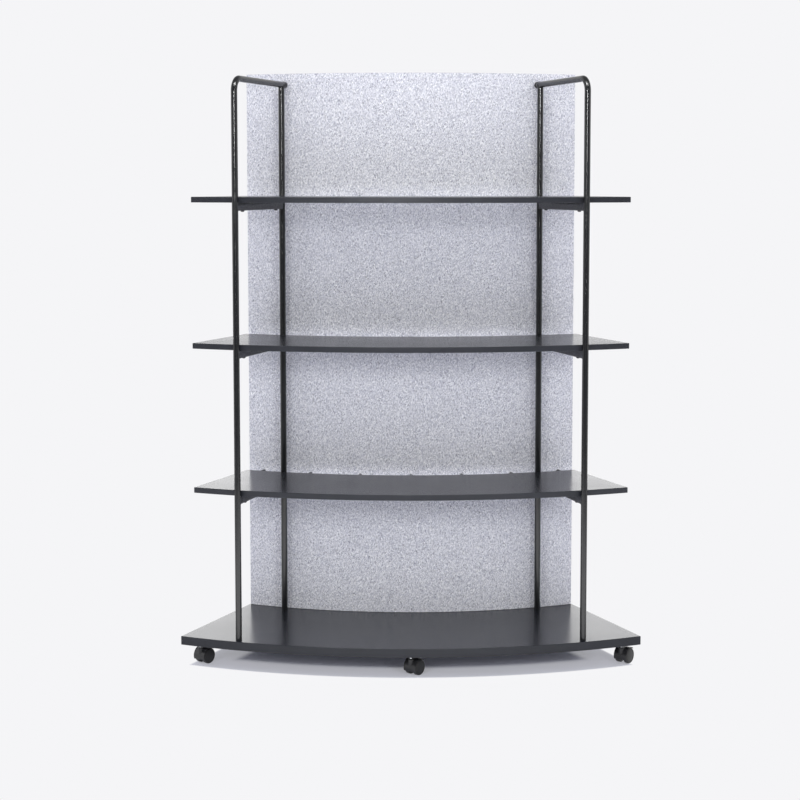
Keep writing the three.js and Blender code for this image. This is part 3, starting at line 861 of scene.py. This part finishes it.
def hood_mesh():
    """Hood in the castor's own frame: fender over both treads, web between them, neck round the stem."""
    across = Matrix.Translation((AXLE_TRAIL, 0, WHEEL_RADIUS)) @ Matrix.Rotation(math.pi / 2, 4, "X")
    outline = arc_points(FENDER_OUTER, FENDER_TAIL, FENDER_FRONT, 40)
    outline += arc_points(FENDER_INNER, FENDER_FRONT, FENDER_TAIL, 40)
    fender = eased(extruded(outline, -FENDER_HALF_WIDTH, FENDER_HALF_WIDTH), 0.8 * MM)
    outline = arc_points(WEB_RADIUS, 58, 200, 30) + arc_points(WEB_FOOT_RADIUS, 255, 385, 16)
    web = eased(extruded(outline, -WEB_HALF, WEB_HALF), 0.5 * MM)
    neck = turned(rounded([
        (0, NECK_FOOT, 0), (7 * MM, NECK_FOOT, 1 * MM), (NECK_RADIUS, 38 * MM, 6 * MM),
        (NECK_RADIUS, HOOD_TOP, 1.6 * MM), (5.4 * MM, HOOD_TOP, 0.3 * MM), (5.2 * MM, CUP_LEVEL, 0.2 * MM),
        (0, CUP_LEVEL, 0),
    ]), 48)
    corners = [
        (0, -NECK_RADIUS), (BRIDGE_LENGTH, -BRIDGE_HALF), (BRIDGE_LENGTH, BRIDGE_HALF), (0, NECK_RADIUS),
    ]
    bridge = eased(extruded(corners, HOOD_TOP - 5 * MM, HOOD_TOP - 0.3 * MM), 1 * MM)
    body = combined(placed(fender, across), [placed(web, across), neck, bridge], "UNION")
    return smoothed(body, 35)


def stem_mesh():
    """Stem about +Z: flange under the board, a shoulder and the pin down into the hood."""
    under = BASE_BOTTOM
    flange = under - FLANGE_THICKNESS
    return smoothed(turned(rounded([
        (0, STEM_FOOT, 0), (STEM_RADIUS, STEM_FOOT, 0.5 * MM), (STEM_RADIUS, under - 4.8 * MM, 0.3 * MM),
        (SHOULDER_RADIUS, under - 4.2 * MM, 0.3 * MM), (SHOULDER_RADIUS, flange, 0.2 * MM),
        (FLANGE_RADIUS, flange, 0.6 * MM), (FLANGE_RADIUS, under, 0.2 * MM), (0, under, 0),
    ]), 48), 30)


def make_castors():
    joints = {joint["name"]: Vector(joint["pos_m"]) for joint in frame["joints"]}
    wheel = wheel_mesh()
    hood = hood_mesh()
    stem = stem_mesh()
    axle = smoothed(turned(rounded([
        (0, -AXLE_HALF_LENGTH, 0), (AXLE_RADIUS, -AXLE_HALF_LENGTH, 0.6 * MM),
        (AXLE_RADIUS, AXLE_HALF_LENGTH, 0.6 * MM), (0, AXLE_HALF_LENGTH, 0),
    ]), 32))
    out = Matrix.Translation((0, 0, WHEEL_INNER_FACE))
    for name in CASTORS:
        pivot = joints[name + "_castor_swivel"]
        axle_centre = joints[name + "_left_wheel_spin"]
        trail = math.atan2(axle_centre.y - pivot.y, axle_centre.x - pivot.x)
        stand = Matrix.Translation((pivot.x, pivot.y, 0)) @ Matrix.Rotation(trail, 4, "Z")
        at_axle = Matrix.Translation(axle_centre) @ Matrix.Rotation(trail, 4, "Z")
        on_side = {
            "left": at_axle @ Matrix.Rotation(math.pi / 2, 4, "X"),
            "right": at_axle @ Matrix.Rotation(-math.pi / 2, 4, "X"),
        }
        piece(name + "_stem_turned", placed(stem, stand), zinc, "unit", [name + "_castor_stem"])
        piece(name + "_hood_moulded", placed(hood, stand), hood_polyamide, name + "_castor",
              [name + "_castor_hood"])
        piece(name + "_axle", placed(axle, on_side["left"]), zinc, name + "_castor")
        for side, turn in on_side.items():
            piece(f"{name}_{side}_wheel_moulded", placed(wheel, turn @ out), wheel_polyamide_painted_shade,
                  f"{name}_{side}_wheel", [f"{name}_castor_{side}_wheel"])


make_boards()
make_felt()
make_frame("left", -FRAME_HALF_ANGLE)
make_frame("right", FRAME_HALF_ANGLE)
make_fasteners()
make_spacers()
make_castors()


# Stage, light and camera

STUDIO_TONE = "#f5f5f7"
# Painted shadow colour: the floor's lit part is tinted blue, so that its shadow shows blue against the flat
# white beyond.
SHADOW_TONE = "#e6e8fa"
# How strongly the studio's front, back and top light the unit, and how strongly its front shows in a gloss.
FRONT_FILL = 0.9
BACK_FILL = 1.0
TOP_FILL = 0.4
FRONT_SHINE = 0.14
# The floor dims in a gloss between these distances in front of the base.
DIM_FROM = 0.9
DIM_TO = 2.6
# The shadow's edge and the width that it fades over, out from the base; beyond the edge the floor is flat
# white. Past its depth inwards it is darkest, and before that it is lightened by a share of painted flat
# white, a painted half shadow.
SHADOW_EDGE = -20 * MM
SHADOW_FADE = 6 * MM
SHADOW_DEPTH = 130 * MM
PAINTED_SHADOW_LIFT = 0.27
CAMERA_PITCH = 0.08671


def studio_floor():
    """White floor: it takes the unit's shadow close to the base, and is even white beyond."""
    material = bpy.data.materials.new("studio_floor")
    material.use_nodes = True
    tree = material.node_tree
    tree.nodes.clear()
    place = add(tree, "ShaderNodeTexCoord").outputs["Object"]
    apart = add(tree, "ShaderNodeVectorMath", {
        0: place, 1: PLAN_AXIS,
    }, operation="SUBTRACT").outputs[0]
    xyz = add(tree, "ShaderNodeSeparateXYZ", {0: apart})
    radius = add(tree, "ShaderNodeVectorMath", {0: apart}, operation="LENGTH").outputs["Value"]
    # How far a place lies outside the base: before its front, behind its rear or beside its ends.
    before = add(tree, "ShaderNodeMath", {
        0: radius, 1: BASE_FRONT_RADIUS,
    }, operation="SUBTRACT").outputs[0]
    behind = add(tree, "ShaderNodeMath", {
        0: BASE_REAR_RADIUS, 1: radius,
    }, operation="SUBTRACT").outputs[0]
    aside = add(tree, "ShaderNodeMath", {0: xyz.outputs["X"]}, operation="ABSOLUTE").outputs[0]
    front = add(tree, "ShaderNodeMath", {0: xyz.outputs["Y"], 1: -1.0}, operation="MULTIPLY").outputs[0]
    turn = add(tree, "ShaderNodeMath", {0: aside, 1: front}, operation="ARCTAN2").outputs[0]
    past = add(tree, "ShaderNodeMath", {
        0: turn, 1: half_angle_of("base_board", BASE_FRONT_RADIUS),
    }, operation="SUBTRACT").outputs[0]
    beside = add(tree, "ShaderNodeMath", {0: past, 1: radius}, operation="MULTIPLY").outputs[0]
    outside = add(tree, "ShaderNodeMath", {0: before, 1: behind}, operation="MAXIMUM").outputs[0]
    outside = add(tree, "ShaderNodeMath", {0: outside, 1: beside}, operation="MAXIMUM").outputs[0]
    # Painted light: just inside the board's edge the floor turns from flat white to its lit shading, and a
    # hand further in the shadow is still lightened by a painted share of flat white. These stand for the
    # board cutting off the overhead lamp, and then the ones in front.
    painted_lift_share = add(tree, "ShaderNodeMapRange", {
        "Value": outside, "From Min": SHADOW_EDGE - SHADOW_DEPTH,
        "From Max": SHADOW_EDGE - 0.7 * SHADOW_DEPTH, "To Max": PAINTED_SHADOW_LIFT,
    }, interpolation_type="SMOOTHSTEP").outputs["Result"]
    even = add(tree, "ShaderNodeMapRange", {
        "Value": outside, "From Min": SHADOW_EDGE - SHADOW_FADE, "From Max": SHADOW_EDGE + SHADOW_FADE,
        "To Min": painted_lift_share,
    }, interpolation_type="SMOOTHSTEP").outputs["Result"]
    seen = add(tree, "ShaderNodeLightPath").outputs
    direct = add(tree, "ShaderNodeMath", {
        0: seen["Is Camera Ray"], 1: seen["Is Glossy Ray"],
    }, operation="MAXIMUM").outputs[0]
    direct = add(tree, "ShaderNodeMath", {
        0: direct, 1: seen["Is Transmission Ray"],
    }, operation="MAXIMUM").outputs[0]
    share = add(tree, "ShaderNodeMath", {0: even, 1: direct}, operation="MULTIPLY").outputs[0]
    lit = add(tree, "ShaderNodeBsdfDiffuse", {"Color": linear(SHADOW_TONE)}).outputs[0]
    # In a gloss it dims towards the studio's front, as the walls do.
    nearer = add(tree, "ShaderNodeMapRange", {
        "Value": front, "From Min": BASE_FRONT_RADIUS + DIM_FROM, "From Max": BASE_FRONT_RADIUS + DIM_TO,
        "To Min": 1.0, "To Max": FRONT_SHINE,
    }, interpolation_type="SMOOTHSTEP").outputs["Result"]
    level = add(tree, "ShaderNodeMix", {
        "Factor_Float": seen["Is Camera Ray"], "A_Float": nearer, "B_Float": 1.0,
    })
    flat = add(tree, "ShaderNodeEmission", {
        "Color": linear(STUDIO_TONE), "Strength": socket(level.outputs, "Result_Float"),
    }).outputs[0]
    mixed = add(tree, "ShaderNodeMixShader", {0: share, 1: lit, 2: flat}).outputs[0]
    add(tree, "ShaderNodeOutputMaterial", {"Surface": mixed})
    return material


def make_stage():
    reach = 40
    corners = [(-reach, -reach, 0), (reach, -reach, 0), (reach, reach, 0), (-reach, reach, 0)]
    mesh = bpy.data.meshes.new("floor")
    mesh.from_pydata(corners, [], [(0, 1, 2, 3)])
    mesh.materials.append(studio_floor())
    linked("floor", mesh)


def make_world():
    """White to the eye. In a gloss the studio's back is white too, and its front is dimmer."""
    world = bpy.data.worlds.new("studio")
    bpy.context.scene.world = world
    world.use_nodes = True
    tree = world.node_tree
    tree.nodes.clear()
    direction = add(tree, "ShaderNodeTexCoord").outputs["Generated"]
    along = add(tree, "ShaderNodeSeparateXYZ", {0: direction}).outputs
    seen = add(tree, "ShaderNodeLightPath").outputs
    gloss = add(tree, "ShaderNodeMath", {
        0: seen["Is Glossy Ray"], 1: seen["Is Transmission Ray"],
    }, operation="MAXIMUM").outputs[0]
    level = add(tree, "ShaderNodeMapRange", {
        "Value": along["Y"], "From Min": -0.4, "From Max": 0.5, "To Min": FRONT_FILL, "To Max": BACK_FILL,
    }, interpolation_type="SMOOTHSTEP").outputs["Result"]
    shine = add(tree, "ShaderNodeMapRange", {
        "Value": along["Y"], "From Min": -0.85, "From Max": 0.0, "To Min": FRONT_SHINE, "To Max": 1.0,
    }, interpolation_type="SMOOTHSTEP").outputs["Result"]
    wall = add(tree, "ShaderNodeMix", {"Factor_Float": gloss, "A_Float": level, "B_Float": shine})
    unseen = add(tree, "ShaderNodeMapRange", {
        "Value": along["Z"], "From Min": 0.4, "From Max": 0.9,
        "To Min": socket(wall.outputs, "Result_Float"), "To Max": TOP_FILL,
    }, interpolation_type="SMOOTHSTEP").outputs["Result"]
    strength = add(tree, "ShaderNodeMix", {
        "Factor_Float": seen["Is Camera Ray"], "A_Float": unseen, "B_Float": 1.0,
    })
    back = add(tree, "ShaderNodeBackground", {
        "Color": linear(STUDIO_TONE), "Strength": socket(strength.outputs, "Result_Float"),
    })
    add(tree, "ShaderNodeOutputWorld", {"Surface": back.outputs[0]})


def lamp(name, where, aim, width, height, watts, matt=True, gloss=True, spread=180):
    """An area lamp, out of the camera's sight. It can leave matt surfaces or glosses alone."""
    data = bpy.data.lights.new(name, "AREA")
    data.shape = "RECTANGLE"
    data.size = width
    data.size_y = height
    data.energy = watts
    data.spread = math.radians(spread)
    made = linked(name, data)
    made.location = where
    made.rotation_euler = (Vector(aim) - Vector(where)).to_track_quat("-Z", "Y").to_euler()
    made.visible_camera = False
    made.visible_diffuse = matt
    made.visible_glossy = gloss


def make_lamps():
    middle = (0, 0, 0.9)
    lamp("front_left_softbox", (-2.6, -5.0, 2.2), middle, 1.2, 1.0, 71, gloss=False)
    lamp("front_right_softbox", (2.6, -5.0, 2.2), middle, 1.2, 1.0, 71, gloss=False)
    lamp("floor_reflector", (0, -2.6, 0.02), (0, -2.6, 3.0), 6.0, 4.2, 68, gloss=False)
    lamp("overhead_softbox", (0, -1.4, 3.4), (0, -0.2, 0.1), 0.95, 0.95, 17)
    # A grid keeps this lamp on the tops of the frames, and off the boards.
    lamp("front_highlight", (-0.4, -5.0, 2.25), (0, -0.25, 1.95), 0.6, 0.6, 3.6, matt=False, spread=30)
    lamp("overhead_strip", (0, -1.5, 3.6), (0, -0.3, 0.1), 3.0, 0.35, 90, matt=False)
    lamp("front_glow", (0, -5.2, 1.2), middle, 1.6, 1.6, 4, matt=False)
    lamp("floor_glow", (0, -1.7, 0.01), (0, -1.7, 3.0), 4.0, 2.4, 50, matt=False)
    lamp("left_glow", (-3.6, -0.9, 1.2), middle, 2.2, 2.0, 7, matt=False)
    lamp("right_glow", (3.6, -0.9, 1.2), middle, 2.2, 2.0, 7, matt=False)
    lamp("rear_left_panel", (-1.5, 3.0, 0.65), (-0.3, 0, 0.65), 1.5, 1.3, 11)
    lamp("rear_right_panel", (1.5, 3.0, 0.65), (0.3, 0, 0.65), 1.5, 1.3, 10)


def make_camera():
    """The photograph's view: from the front, at the height of the top shelf, with the frame shifted."""
    data = bpy.data.cameras.new("camera")
    data.lens = 76.765
    data.sensor_width = 36
    data.shift_x = -0.013615
    data.shift_y = -0.09
    camera = linked("camera", data)
    camera.location = (0, -5.5093, 1.5561)
    camera.rotation_euler = (math.pi / 2 - CAMERA_PITCH, 0, 0)
    bpy.context.scene.camera = camera


make_stage()
make_world()
make_lamps()
make_camera()
bpy.context.scene.view_settings.view_transform = "Standard"
